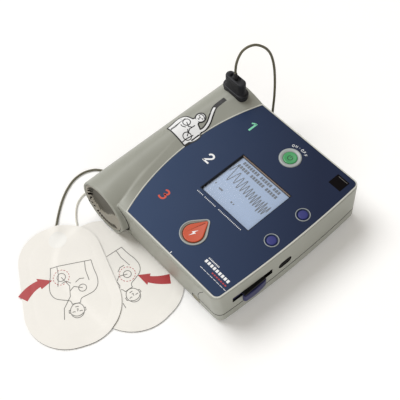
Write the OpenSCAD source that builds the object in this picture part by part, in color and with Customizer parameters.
// Automated external defibrillator with a battery pack, a data card and a pair of adhesive pads.
// Millimetres. +X is the user's right, +Y is away from the user, +Z is up.
// The origin is under the middle of the housing, on the surface that it stands on.

/* [Housing] */
// Half of the overall width and depth
half_size = 111; // [110:0.5:112]
// Front face of the housing at its top edge
front_y = -103; // [-104:0.5:-101]
// Back face of the housing
back_y = 109; // [108:0.5:110]
// Height of the flat top
top_z = 61.8; // [61:0.2:63]
// Underside of the housing, which stands on feet
base_z = 3.5; // [3.2:0.1:4]
// Height of the joint between the upper and the lower case
split_z = 19; // [18:0.5:20]
// Wall thickness of the cases
wall = 2.5; // [2:0.1:3]
// How far the front face leans back between the top and the base
front_lean = 5; // [4:0.5:6]
// Radius of the bowed right side
bow_r = 1350; // [1200:50:1500]

/* [Tube] */
// Outer radius of the tube along the left side
tube_r = 34.5; // [34:0.1:34.6]
// Height of the tube's axis
tube_z = 34.7; // [34.6:0.1:35]
// Wall thickness of the tube
tube_wall = 3; // [2.5:0.1:3.2]

/* [Front panel] */
// Radius of the overlay's curved left edge
overlay_arc_r = 282.6; // [276:0.2:290]
// Depth of the recess that the overlay lies in
overlay_recess = 0.8; // [0.6:0.1:1]
// Width and depth of the display opening
display_size = [76.4, 64.8]; // [64:0.2:77]
// Radius of the power button
power_r = 8.1; // [7.8:0.1:8.3]
// Radius of an option button
option_r = 5.6; // [5.4:0.1:5.8]

/* [Battery pack] */
// Width, depth and height of the cell compartment
pack_size = [106, 42, 36.8]; // [36:0.2:107]
// Radius of a cell
cell_r = 8.4; // [8:0.1:8.5]
// Height of a cell
cell_h = 33; // [32:0.5:34]

/* [Pads and cord] */
// Diameter of the cord from the plug to the splitter
cord_d = 3; // [2.8:0.1:3.2]
// Diameter of the lead to pad A
lead_a_d = 2.6; // [2.4:0.1:2.8]
// Diameter of the lead to pad B
lead_b_d = 2.2; // [2:0.1:2.4]
// Length of a pad
pad_length = 154; // [150:1:160]
// Thickness of a pad
pad_t = 1.6; // [1.2:0.1:1.6]

/* [Hidden] */
$fn = 72;

eps = 0.05;
gap = 0.3;
case_grey = [0.62, 0.62, 0.58];
inner_grey = [0.42, 0.43, 0.42];
board_green = [0.1, 0.36, 0.2];
cord_olive = [0.3, 0.29, 0.22];

// Places on the front panel
tube_x = tube_r - half_size;
corner_x = -53.5;
right_x = half_size - 1;
bow_y = 15;
tube_front_y = -109;
overlay_z = top_z - overlay_recess;
ceiling_z = top_z - wall;
display_at = [28.9, 11];
power_at = [30, 77.6];
shock_at = [29.3, -65];
shock_r = 15.4;
shock_tip_r = 4.2;
shock_tip_y = 18.3;
option_at = [[92, 35.4], [92, -10.9]];
option_ring_r = 8.3;
power_ring_r = 13;
status_at = [89.6, 93];
status_size = [17, 15.3];
switch_z = 47.2;
board_t = 1.6;
dome_h = 3.2;
plunger_z = switch_z + board_t + dome_h + 0.1;
neck_z = 55.9;

// Data card tray in the right side
tray_y = [-78, -28];
tray_z = 34.5;
slot_y = [-80, -26];
slot_z = [34, 40];

// Battery pack in the front
pack_at = [-40, -98, 7.6];
face_left = -41;
face_z = [6, 56.5];
latch_x = [62.8, 73.4];
latch_back_y = -95.3;

// Plug on top of the tube's back end
plug_at = [-77.5, 95];
collar_z = 69.6;
flange_size = [36, 16];
collar_size = [33.6, 14.6];
plug_top_z = 91;

// Routes of the cord and the leads, as points on their centre lines
plug_route = [
    [-79, 96, 88.1], [-79, 96, 99], [-78.5, 96.5, 111], [-77.5, 99, 122], [-76, 104, 131],
    [-74, 112, 134], [-72, 122, 130.5], [-67.5, 130.5, 123], [-64, 135.5, 113], [-61, 137.5, 101],
    [-57.5, 137, 88], [-54, 135, 70], [-51, 132, 52], [-50, 130, 36], [-50, 129, 20],
    [-51, 130, 9], [-50, 132.5, 3.6], [-44, 134.5, 1.6], [-33, 134.5, 1.6]
];
trunk_route = [
    [-30, 113.5, 7.6], [-42, 114, 5], [-54, 115, 1.6], [-70, 116.5, 1.6], [-86, 117.5, 1.6],
    [-100, 115, 1.6], [-111, 108, 1.6], [-117.5, 97, 1.6], [-119.5, 80, 1.6],
    [-120, 55, 1.6], [-120, 25, 1.6], [-119.5, -5, 1.6], [-119, -22, 2.4]
];
lead_a_route = [
    [-120, -36, 2.2], [-121.5, -46, 1.4], [-127, -56, 1.4], [-136, -64.5, 1.4],
    [-145, -72, 1.4], [-150.5, -84, 1.4], [-150.5, -98, 1.4], [-145.5, -112, 1.4],
    [-137, -126, 1.4], [-126, -139.5, 1.4], [-116, -150, 1.8], [-110, -155.5, 2.5]
];
lead_b_route = [
    [-117.3, -36, 2.2], [-117.6, -50, 1.2], [-119.5, -66, 1.2], [-122.5, -82, 1.2],
    [-125.5, -94, 1.2], [-125.5, -105, 1.2], [-121, -116, 1.2], [-113, -124.5, 1.2],
    [-104, -131, 1.2], [-92, -137.5, 1.2]
];
hank_at = [-13, 124];
hank_straight = 26;
hank_r = [9, 12];
hank_layers = 3;

// Pads: the lead enters at the narrow end
overlay_arc_at = [220.9, 11];
pad_a_at = [-44.3, -189.3];
pad_a_turn = -24;
pad_b_at = [-16.5, -138.7];
pad_b_turn = 7;
pad_wide_r = 49.5;
pad_narrow_r = 43.5;
pad_flat = 4;
pad_b_z = 0.2;
pad_a_z = 1.9;

// A rectangle with round corners
module round_rect(low, high, r) {
    translate([low[0] + r, low[1]])
        square([high[0] - low[0] - 2 * r, high[1] - low[1]]);
    translate([low[0], low[1] + r])
        square([high[0] - low[0], high[1] - low[1] - 2 * r]);
    for (x = [low[0] + r, high[0] - r])
        for (y = [low[1] + r, high[1] - r])
            translate([x, y])
                circle(r = r);
}

// A slot with round ends, along X and centred
module stadium(size) {
    square([size[0] - size[1], size[1]], center = true);
    for (side = [-1, 1])
        translate([side * (size[0] - size[1]) / 2, 0])
            circle(d = size[1]);
}

// The side of the case that bows outward
module bow(inset = 0) {
    translate([right_x - bow_r, bow_y])
        circle(r = bow_r - inset, $fn = 1440);
}

// The housing seen from above, without the tube
module plan(inset = 0) {
    intersection() {
        union() {
            round_rect([corner_x + inset, front_y + inset], [half_size + 20, back_y - inset], 1);
            polygon([
                [corner_x + inset, front_y + inset], [-66 + inset, -50], [tube_x, 0],
                [tube_x, back_y - inset], [0, back_y - inset], [0, front_y + inset]
            ]);
        }
        bow(inset);
        round_rect([-200, front_y + inset], [right_x - inset, back_y - inset], 9 - inset);
    }
}

// The space in front of the leaning front face, or behind one that is inset
module front_space(inset = 0) {
    lean = front_lean / (top_z - base_z);
    translate([-150, 0, 0])
        rotate([90, 0, 90])
            linear_extrude(300)
                polygon([
                    [front_y + inset, top_z + 1], [front_y + inset + lean * (top_z + 1), 0],
                    [front_y - 30, 0], [front_y - 30, top_z + 1]
                ]);
}

// The tube's solid, or the bore in it
module tube_solid(r, low_y, high_y) {
    translate([tube_x, high_y, tube_z])
        rotate([90, 0, 0])
            cylinder(r = r, h = high_y - low_y, $fn = 144);
}

// The shoulder that joins the flat top to the tube's crest
module shoulder() {
    crest_z = tube_z + tube_r - 0.3;
    translate([0, back_y, 0])
        rotate([90, 0, 0])
            linear_extrude(back_y + 15)
                polygon([[tube_x, 50], [tube_x, crest_z], [tube_x + 6, crest_z - 0.2],
                         [-56, top_z], [-50, top_z - 1], [-50, 50]]);
}

// The whole outside of the housing
module outer_form() {
    difference() {
        union() {
            translate([0, 0, base_z + 1.4])
                linear_extrude(top_z - base_z - 1.4)
                    plan();
            translate([0, 0, base_z])
                linear_extrude(2)
                    plan(1.2);
            shoulder();
        }
        front_space();
    }
    tube_solid(tube_r, tube_front_y, back_y);
}

// The hollow inside the housing
module inner_form() {
    difference() {
        translate([0, 0, base_z + wall])
            linear_extrude(ceiling_z - base_z - wall)
                plan(wall);
        front_space(wall + 0.2);
    }
    tube_solid(tube_r - tube_wall, tube_front_y - 1, back_y - tube_wall);
}

// Everything above or below the joint between the cases
module above_split() {
    translate([-200, -200, split_z])
        cube([400, 400, 100]);
}
module below_split() {
    translate([-200, -200, -1])
        cube([400, 400, split_z + 1]);
}

// Points along an arc
function arc(centre, r, from, to, steps = 24) =
    [for (i = [0:steps]) let (a = from + (to - from) * i / steps) centre + r * [cos(a), sin(a)]];

// The shock button's teardrop, pointing away from the user
module teardrop(inset = 0) {
    big = shock_r - inset;
    small = shock_tip_r - inset * 0.55;
    turn = asin((big - small) / shock_tip_y);
    translate(shock_at)
        polygon(concat(
            arc([0, 0], big, 180 - turn, 360 + turn),
            arc([0, shock_tip_y], small, turn, 180 - turn)
        ));
}

// The overlay's outline
module overlay_outline(inset = 0) {
    intersection() {
        round_rect([-90, front_y + 3.8 + inset], [right_x - 2.4 - inset, back_y - 2.3 - inset], 6);
        translate(overlay_arc_at)
            circle(r = overlay_arc_r - inset, $fn = 720);
        bow(2.4 + inset);
    }
}

module display_outline(grow = 0) {
    translate(display_at)
        square([display_size[0] + 2 * grow, display_size[1] + 2 * grow], center = true);
}

module status_outline(grow = 0) {
    translate(status_at)
        square([status_size[0] + 2 * grow, status_size[1] + 2 * grow], center = true);
}

// Openings for the display, the buttons and the status window
module panel_openings(lip = 0) {
    display_outline();
    status_outline(-lip / 2);
    teardrop(lip);
    translate(power_at)
        circle(r = power_ring_r - lip);
    for (at = option_at)
        translate(at)
            circle(r = option_ring_r - lip);
}

// The battery pack's face, seen from the front, and the hole for it
module face_outline(grow = 0) {
    polygon([
        [face_left - grow, face_z[0] - grow], [74 + grow, face_z[0] - grow], [74 + grow, 30],
        [78 + grow, 42], [86 + grow, face_z[1] + grow], [face_left - grow, face_z[1] + grow]
    ]);
}

module along_y(from_y, depth) {
    translate([0, from_y + depth, 0])
        rotate([90, 0, 0])
            linear_extrude(depth)
                children();
}

screw_at = [[97, -88], [72, 100.5], [8, 100.5], [-38, 100.5], [78, -12], [-44, -44]];

module top_case() color(case_grey) {
    difference() {
        intersection() {
            outer_form();
            above_split();
        }
        inner_form();
        translate([0, 0, overlay_z])
            linear_extrude(10)
                overlay_outline();
        translate([0, 0, ceiling_z - 1])
            linear_extrude(10)
                panel_openings(2);
        along_y(front_y - 5, 14)
            face_outline(gap);
        translate([half_size - 12, slot_y[0], slot_z[0]])
            cube([20, slot_y[1] - slot_y[0], slot_z[1] - slot_z[0]]);
        translate([half_size - 12, -7, 33])
            rotate([90, 0, 90])
                linear_extrude(20)
                    stadium([17, 8]);
        translate([plug_at[0], plug_at[1], 50])
            linear_extrude(30)
                stadium([34.2, 15.2]);
    }
    for (at = screw_at)
        translate([at[0], at[1], split_z + 0.2])
            difference() {
                cylinder(r = 3.4, h = ceiling_z - split_z + 0.2);
                translate([0, 0, -1])
                    cylinder(r = 1.5, h = 12);
            }
}

module bottom_case() color(case_grey) {
    difference() {
        intersection() {
            outer_form();
            below_split();
        }
        inner_form();
        along_y(front_y - 5, 14)
            face_outline(gap);
        for (at = screw_at)
            translate([at[0], at[1], 0]) {
                cylinder(r = 1.6, h = 10);
                cylinder(r = 2.9, h = base_z + 1.4);
            }
    }
    for (at = screw_at)
        translate([at[0], at[1], base_z + wall - eps])
            difference() {
                cylinder(r = 3.4, h = split_z - base_z - wall);
                translate([0, 0, -1])
                    cylinder(r = 1.6, h = 20);
            }
}

// A seal that lies inside the joint between the cases
module case_gasket() color([0.12, 0.12, 0.12]) {
    difference() {
        translate([0, 0, split_z - 1])
            linear_extrude(2)
                difference() {
                    plan(wall + 0.05);
                    plan(wall + 1.5);
                    translate([-200, front_y - 5])
                        square([400, 20]);
                }
        tube_solid(tube_r + 8, -200, 200);
    }
}

module panel_overlay() color([0.17, 0.22, 0.38])
    translate([0, 0, overlay_z])
        linear_extrude(overlay_recess - 0.1)
            difference() {
                overlay_outline(0.2);
                panel_openings(-0.1);
            }

// The perforated cap in the tube's front end: two mirrored fan-shaped hollows with slots
module speaker_grille() color([0.55, 0.55, 0.5]) {
    face_y = tube_front_y + 0.6;
    translate([tube_x, face_y, tube_z])
        rotate([-90, 0, 0])
            difference() {
                cylinder(r = tube_r - tube_wall - 0.05, h = 5);
                for (side = [0, 180])
                    rotate([0, 0, side + 28]) {
                        translate([0, 0, -1])
                            linear_extrude(3.2)
                                intersection() {
                                    circle(r = 26);
                                    translate([-30, 2.2])
                                        square([60, 30]);
                                }
                        for (i = [0:7])
                            translate([-24 + i * 3.2, 3.4 + i * 0.5, -1])
                                cube([1.5, 4.4, 10]);
                    }
            }
}

module speaker() color([0.15, 0.15, 0.16])
    translate([tube_x, tube_front_y + 6.2, tube_z])
        rotate([-90, 0, 0])
            rotate_extrude()
                polygon([[0, 8], [7, 8], [9, 10], [24, 2], [26, 0], [29.5, 0], [29.5, 2.5],
                         [26, 3], [16, 13], [14, 14], [14, 22], [0, 22]]);

// Frame around the display, with a sloping edge down to the glass
module display_bezel() color([0.1, 0.1, 0.12])
    difference() {
        translate([0, 0, overlay_z - 4])
            linear_extrude(4.4)
                display_outline(-0.15);
        translate([display_at[0], display_at[1], overlay_z - 5])
            linear_extrude(10)
                square([72.4, 61], center = true);
    }

module display_window() color([0.75, 0.85, 0.95, 0.5])
    translate([display_at[0], display_at[1], overlay_z - 2.6])
        linear_extrude(1.2)
            square([72.3, 60.9], center = true);

module lcd_panel() color([0.66, 0.74, 0.87])
    translate([display_at[0], display_at[1], 51]) {
        linear_extrude(5.9)
            square([80, 68], center = true);
        translate([0, 0, 5.8])
            linear_extrude(1.4)
                square([72, 60.6], center = true);
    }

// A raised ring with a neck that passes through the case
module ring(r, neck_r, bore_r, height) {
    difference() {
        union() {
            translate([0, 0, overlay_z])
                cylinder(r = r, h = height);
            translate([0, 0, neck_z])
                cylinder(r = neck_r, h = overlay_z - neck_z);
        }
        cylinder(r = bore_r, h = 80);
    }
}

// A round push button with a retaining flange and a plunger
module push_button(r, top) {
    translate([0, 0, 55.5])
        cylinder(r = r, h = top - 55.5);
    translate([0, 0, 54.5])
        cylinder(r = r + 1, h = 1.2);
    translate([0, 0, plunger_z])
        cylinder(r = 2.4, h = 54.6 - plunger_z);
}

module dome(at, r = 4)
    color([0.25, 0.25, 0.27])
        translate([at[0], at[1], switch_z + board_t])
            rotate_extrude()
                polygon([[0, 0], [r, 0], [r * 0.95, 0.6], [r * 0.55, dome_h * 0.8],
                         [r * 0.5, dome_h], [0, dome_h]]);

module power_bezel() color([0.7, 0.72, 0.72])
    translate(power_at)
        ring(power_ring_r - 0.05, power_ring_r - 2.1, power_r + gap, 1.9);

module power_button() color([0.1, 0.5, 0.3])
    translate(power_at)
        push_button(power_r, top_z + 0.7);

module power_dome() dome(power_at);

module shock_bezel() color([0.66, 0.68, 0.66])
    difference() {
        union() {
            translate([0, 0, overlay_z])
                linear_extrude(2)
                    teardrop(0.05);
            translate([0, 0, neck_z])
                linear_extrude(overlay_z - neck_z)
                    teardrop(2.1);
        }
        linear_extrude(80)
            teardrop(3.9);
    }

module shock_button() color([0.85, 0.3, 0.15]) {
    translate([0, 0, 55.5])
        linear_extrude(top_z + 0.5 - 55.5)
            teardrop(3.9 + gap);
    translate([0, 0, 54.5])
        linear_extrude(1.2)
            teardrop(3);
    translate([shock_at[0], shock_at[1], plunger_z])
        cylinder(r = 3, h = 54.6 - plunger_z);
}

module shock_dome() dome(shock_at, 5);

module option_rings() color([0.75, 0.77, 0.78])
    for (at = option_at)
        translate(at)
            ring(option_ring_r - 0.05, option_ring_r - 2.1, option_r + gap, 1.3);

module option_button(index)
    color([0.2, 0.22, 0.5])
        translate(option_at[index])
            push_button(option_r, top_z + 0.4);

module option_button_upper() option_button(0);
module option_button_lower() option_button(1);
module option_dome_upper() dome(option_at[0]);
module option_dome_lower() dome(option_at[1]);

// Small circuit boards that carry the button switches
module switch_boards() color(board_green)
    translate([0, 0, switch_z])
        linear_extrude(board_t) {
            translate([15, 62])
                square([30, 31]);
            translate([14, -82])
                square([30, 34]);
            translate([83, -22])
                square([18, 68]);
        }

module status_window() color([0.06, 0.05, 0.05]) {
    translate([0, 0, overlay_z - 1.7])
        linear_extrude(2)
            status_outline(-1.1);
    translate([0, 0, overlay_z])
        linear_extrude(0.8)
            status_outline(-0.1);
}

module status_display() color([0.3, 0.32, 0.3])
    translate([status_at[0], status_at[1], 54])
        linear_extrude(3.8)
            square([14.6, 12.8], center = true);

module ir_window() color([0.05, 0.04, 0.05])
    translate([half_size - 5, -7, 33])
        rotate([90, 0, 90])
            linear_extrude(3.6)
                stadium([16.8, 7.8]);

module ir_transceiver() color([0.1, 0.1, 0.1])
    translate([half_size - 12, -13, 28.5])
        cube([6, 12, 8]);

module microphone() color([0.6, 0.6, 0.6])
    translate([62, 78, 53])
        cylinder(r = 4, h = ceiling_z - 53 - eps);

module main_board() color(board_green)
    translate([-38, -46, 41])
        cube([106, 139, board_t]);

module board_components() color([0.1, 0.1, 0.11])
    translate([0, 0, 41 + board_t]) {
        translate([-20, 55, 0])
            cube([26, 26, 2.4]);
        translate([15, 58, 0])
            cube([18, 12, 2]);
        translate([-30, -30, 0])
            cube([14, 30, 2.6]);
        for (x = [-30:10:0])
            translate([x, 20, 0])
                cylinder(r = 3.5, h = 7);
        translate([40, 58, 0])
            cube([22, 10, 3]);
    }

module high_voltage_board() color([0.16, 0.3, 0.18])
    translate([-34, -42, 11])
        cube([92, 118, board_t]);

// The coil that charges the capacitor
module transformer() color([0.5, 0.32, 0.12])
    translate([30, 20, 11 + board_t]) {
        cube([34 - 10, 30, 5]);
        translate([2, 4, 5])
            cube([20, 22, 14]);
        translate([0, 0, 19])
            cube([24, 30, 5]);
    }

module discharge_relay() color([0.85, 0.85, 0.8])
    translate([-24, -20, 11 + board_t])
        cube([30, 16, 20]);

// The energy capacitor, which lies in the tube
module capacitor() color([0.2, 0.22, 0.3]) {
    translate([tube_x, 66, tube_z])
        rotate([90, 0, 0])
            cylinder(r = 26, h = 118);
    for (side = [-1, 1])
        translate([tube_x + side * 9, 76, tube_z])
            rotate([90, 0, 0])
                cylinder(r = 2.5, h = 10.5);
}

// The walls that keep the battery pack apart from the electronics
module battery_bay() color(inner_grey)
    translate([pack_at[0] - 1.9, pack_at[1] + 3, base_z + wall + 0.1])
        difference() {
            cube([pack_size[0] + 3.8, pack_size[1] + 3, pack_size[2] + 3.4]);
            translate([1.5, -1, 1.2])
                cube([pack_size[0] + 0.8, pack_size[1] + 2.2, pack_size[2] + 0.8]);
            for (x = [22, 74])
                translate([x, pack_size[1], 13])
                    cube([14, 10, 8]);
        }

// Contact blocks in the bay's back wall
module battery_contacts() color([0.8, 0.65, 0.3])
    for (x = [22, 74])
        translate([pack_at[0] - 1.9 + x + 0.2, pack_at[1] + pack_size[1] + 0.1,
                   base_z + wall + 13.3])
            cube([13.6, 8.8, 7.6]);

// The pack's housing: a hollow block with the face that closes the bay
module battery_case() color(case_grey)
    difference() {
        union() {
            translate(pack_at)
                cube(pack_size);
            difference() {
                along_y(front_y - 2, 12)
                    face_outline();
                front_space();
                translate([-150, pack_at[1] + 2, 0])
                    cube([300, 40, 100]);
            }
        }
        translate([pack_at[0] + 1.6, pack_at[1] + 4, pack_at[2] + 1.5])
            cube([pack_size[0] - 3.2, pack_size[1] - 5.6, pack_size[2] - 3]);
        translate([latch_x[0] - 0.4, front_y - 3, face_z[0] - 1])
            cube([20, latch_back_y + 0.4 - front_y + 3, 13]);
        for (x = [22, 74])
            translate([pack_at[0] - 1.9 + x, pack_at[1] + pack_size[1] - 0.9,
                       base_z + wall + 13.1])
                cube([14, 2, 8]);
    }

// Twelve round cells in two rows of six
module battery_cells() color([0.15, 0.25, 0.5])
    for (i = [0:5])
        for (j = [0:1])
            translate([pack_at[0] + pack_size[0] / 2 + (i - 2.5) * 17,
                       pack_at[1] + 4 + (j + 0.52) * (2 * cell_r + 0.4), pack_at[2] + 1.6]) {
                cylinder(r = cell_r, h = cell_h - 1.2);
                cylinder(r = 3, h = cell_h);
            }

module battery_terminals() color([0.85, 0.7, 0.35])
    for (x = [22, 74])
        translate([pack_at[0] - 1.9 + x + 0.5, pack_at[1] + pack_size[1] - 0.85,
                   base_z + wall + 13.6])
            cube([13, 0.8, 7]);

// The sprung finger catch in the corner of the pack's face
module battery_latch() color([0.5, 0.5, 0.46])
    difference() {
        translate([latch_x[0], front_y, face_z[0] + 0.3])
            cube([latch_x[1] - latch_x[0], latch_back_y - front_y, 8.4]);
        front_space();
        for (i = [0:3])
            translate([latch_x[0] - 1, front_y, face_z[0] + 2.2 + i * 1.6])
                cube([14, front_lean + 0.4, 0.7]);
    }

// The sleeve that the card tray slides in
module card_guide() color(inner_grey)
    translate([74, tray_y[0] - 2.4, tray_z - 3])
        difference() {
            cube([29.8, tray_y[1] - tray_y[0] + 4.8, 11]);
            translate([1.5, 2, 2.6])
                cube([40, tray_y[1] - tray_y[0] + 0.8, 6]);
        }

module card_connector() color([0.1, 0.1, 0.12])
    translate([70, -70, tray_z - 3])
        cube([3.9, 34, 9]);

// The tray, with the pull that hangs outside its slot
module card_tray() color([0.15, 0.17, 0.42]) {
    difference() {
        translate([76.5, tray_y[0], tray_z])
            cube([29, tray_y[1] - tray_y[0], 5]);
        translate([78, tray_y[0] + 2, tray_z + 1.2])
            cube([40, tray_y[1] - tray_y[0] - 4, 10]);
    }
    translate([104, -67, tray_z])
        cube([5.5, 30, 1.8]);
    translate([109.3, -68, 22])
        difference() {
            cube([1.7, 32, 14.3]);
            translate([1, 2, -1])
                cube([3, 28, 8]);
        }
}

module data_card() color([0.2, 0.2, 0.22])
    translate([78.4, tray_y[0] + 3, tray_z + 1.3])
        cube([25.4, tray_y[1] - tray_y[0] - 6, 3.2]);

// The socket under the plug, with a collar that closes the hole in the tube
module connector_socket() color([0.12, 0.12, 0.13])
    translate([plug_at[0], plug_at[1], 44])
        difference() {
            linear_extrude(collar_z - 44)
                stadium(collar_size);
            translate([0, 0, 9])
                linear_extrude(30)
                    stadium([26, 9]);
        }

// The plug: a tongue in the socket, a flange and a grip with a well for the cord
module pads_plug() color([0.16, 0.16, 0.18])
    translate([plug_at[0], plug_at[1], 0])
        difference() {
            union() {
                translate([0, 0, 54])
                    linear_extrude(collar_z - 54 + 1)
                        stadium([25.2, 8.2]);
                translate([0, 0, collar_z + eps])
                    linear_extrude(4.2)
                        stadium(flange_size);
                translate([0, 0, collar_z + 4])
                    linear_extrude(plug_top_z - collar_z - 4)
                        stadium([29, 11.6]);
            }
            translate([-1.5, 1, plug_top_z - 3])
                linear_extrude(10)
                    stadium([13, 6.4]);
        }

module plug_boot() color([0.12, 0.12, 0.13])
    translate([plug_route[0][0], plug_route[0][1], plug_top_z - 2.9])
        rotate_extrude($fn = 32)
            polygon([[1.55, 0], [2.9, 0], [2.5, 3.5], [2, 6], [1.55, 6]]);

// Smooth points through a route
function smooth(p, i, t) =
    let (a = p[max(i - 1, 0)], b = p[i], c = p[i + 1], d = p[min(i + 2, len(p) - 1)])
        0.5 * (2 * b + (c - a) * t + (2 * a - 5 * b + 4 * c - d) * t * t
               + (3 * b - a - 3 * c + d) * t * t * t);
function smoothed(p, steps) = concat(
    [for (i = [0:len(p) - 2]) for (k = [0:steps - 1]) smooth(p, i, k / steps)], [p[len(p) - 1]]);
function unit(v) = v / norm(v);
function heading(p, i) = unit(p[min(i + 1, len(p) - 1)] - p[max(i - 1, 0)]);
function sideways(h) = unit(cross(h, abs(h[2]) > 0.8 ? [0, 1, 0] : [0, 0, 1]));

// A round tube swept along a route
module swept(route, d, sides = 8) {
    side_list = [for (i = [0:len(route) - 1]) carried(route, i)];
    points = [
        for (i = [0:len(route) - 1])
            let (h = heading(route, i), s = side_list[i], u = cross(s, h))
                for (k = [0:sides - 1])
                    route[i] + d / 2 * (cos(k * 360 / sides) * s + sin(k * 360 / sides) * u)
    ];
    last = (len(route) - 1) * sides;
    faces = concat(
        [[for (k = [0:sides - 1]) k]],
        [for (i = [0:len(route) - 2]) for (k = [0:sides - 1])
            let (a = i * sides + k, b = i * sides + (k + 1) % sides)
                [a, a + sides, b + sides, b]],
        [[for (k = [0:sides - 1]) last + sides - 1 - k]]);
    polyhedron(points = points, faces = faces);
}

// The direction of a ring's first corner, carried along the route without twisting
function carried(route, i) =
    i == 0 ? sideways(heading(route, 0))
           : let (s = carried(route, i - 1), h = heading(route, i)) unit(s - (s * h) * h);

module plug_cord() color(cord_olive)
    swept(smoothed(plug_route, 2), cord_d);

// The folded spare length of the cord: long turns with round ends
module cord_hank() color(cord_olive)
    translate([hank_at[0], hank_at[1], 0.1])
        linear_extrude(hank_layers * cord_d)
            difference() {
                stadium([hank_straight + 2 * hank_r[1] + cord_d, 2 * hank_r[1] + cord_d]);
                stadium([hank_straight + 2 * hank_r[0] - cord_d, 2 * hank_r[0] - cord_d]);
            }

// A tie round the middle of each side of the hank
module hank_tie() color([0.1, 0.1, 0.1])
    translate([hank_at[0], hank_at[1], 0])
        difference() {
            translate([-3, -hank_r[1] - cord_d, 0.05])
                cube([6, 2 * hank_r[1] + 2 * cord_d, hank_layers * cord_d + 1]);
            translate([-5, -hank_r[1] - cord_d / 2 - 0.1, -1])
                cube([10, 2 * hank_r[1] + cord_d + 0.2, hank_layers * cord_d + 1.15]);
        }

module trunk_cord() color(cord_olive)
    swept(smoothed(trunk_route, 2), cord_d);

// The moulded fork where the cord divides into the two leads
module lead_splitter() color([0.2, 0.2, 0.19])
    translate([-119, -19, 0.3])
        hull() {
            cylinder(r = 3, h = 4.4, $fn = 32);
            for (side = [-1, 1])
                translate([side * 1.4, -17, 0])
                    cylinder(r = 2.6, h = 4.2, $fn = 32);
        }

module lead_a() color(cord_olive)
    swept(smoothed(lead_a_route, 2), lead_a_d);

module lead_b() color([0.85, 0.85, 0.82])
    swept(smoothed(lead_b_route, 2), lead_b_d);

// A pad's outline, with its narrow end to the left
module pad_outline(grow = 0) {
    wide_x = pad_length / 2 - pad_wide_r;
    narrow_x = pad_narrow_r - pad_length / 2;
    wide = pad_wide_r + grow;
    narrow = pad_narrow_r + grow;
    slope = asin((wide - narrow) / (wide_x - narrow_x));
    polygon(concat(
        arc([wide_x, pad_flat], wide, 0, 90 + slope),
        arc([narrow_x, pad_flat], narrow, 90 + slope, 180),
        arc([narrow_x, -pad_flat], narrow, 180, 270 - slope),
        arc([wide_x, -pad_flat], wide, 270 - slope, 360)
    ));
}

module pad_a_outline()
    translate(pad_a_at)
        rotate(pad_a_turn)
            pad_outline();

module pad_b_outline(grow = 0)
    translate(pad_b_at)
        rotate(pad_b_turn)
            pad_outline(grow);

// Pad B passes under the housing's front edge and stops short of the tube
module pad_b() color([0.94, 0.92, 0.88])
    translate([0, 0, pad_b_z])
        linear_extrude(pad_t)
            difference() {
                pad_b_outline();
                translate([-120, tube_front_y - 0.4])
                    square([58, 60]);
            }

// Pad A steps down from the top of pad B to the surface beside it
module pad_a() color([0.96, 0.94, 0.9])
    difference() {
        union() {
            translate([0, 0, pad_a_z])
                linear_extrude(pad_t)
                    intersection() {
                        pad_a_outline();
                        pad_b_outline(6);
                    }
            translate([0, 0, pad_b_z])
                linear_extrude(pad_a_z)
                    intersection() {
                        pad_a_outline();
                        difference() {
                            pad_b_outline(6);
                            pad_b_outline(2);
                        }
                    }
            translate([0, 0, pad_b_z])
                linear_extrude(pad_t)
                    difference() {
                        pad_a_outline();
                        pad_b_outline(5);
                    }
        }
        translate([-104, -131, 1.2])
            rotate([0, 0, atan2(-5, 9)])
                translate([-10, -1.6, -3])
                    cube([25, 3.2, 4.6]);
    }

module case_screws() color([0.7, 0.7, 0.7])
    for (at = screw_at)
        translate([at[0], at[1], base_z + 0.1]) {
            cylinder(r = 1.45, h = 22);
            cylinder(r = 2.8, h = 1.2);
        }

module rubber_feet() color([0.08, 0.08, 0.08])
    for (x = [-28, 88])
        for (y = [-64, 88])
            translate([x, y, 0])
                cylinder(r = 7, h = base_z);

top_case();
bottom_case();
case_gasket();
panel_overlay();
speaker_grille();
speaker();
display_bezel();
display_window();
lcd_panel();
power_bezel();
power_button();
power_dome();
shock_bezel();
shock_button();
shock_dome();
option_rings();
option_button_upper();
option_button_lower();
option_dome_upper();
option_dome_lower();
switch_boards();
status_window();
status_display();
ir_window();
ir_transceiver();
microphone();
main_board();
board_components();
high_voltage_board();
transformer();
discharge_relay();
capacitor();
battery_bay();
battery_contacts();
battery_case();
battery_cells();
battery_terminals();
battery_latch();
card_guide();
card_connector();
card_tray();
data_card();
connector_socket();
pads_plug();
plug_boot();
plug_cord();
cord_hank();
hank_tie();
trunk_cord();
lead_splitter();
lead_a();
lead_b();
pad_a();
pad_b();
case_screws();
rubber_feet();
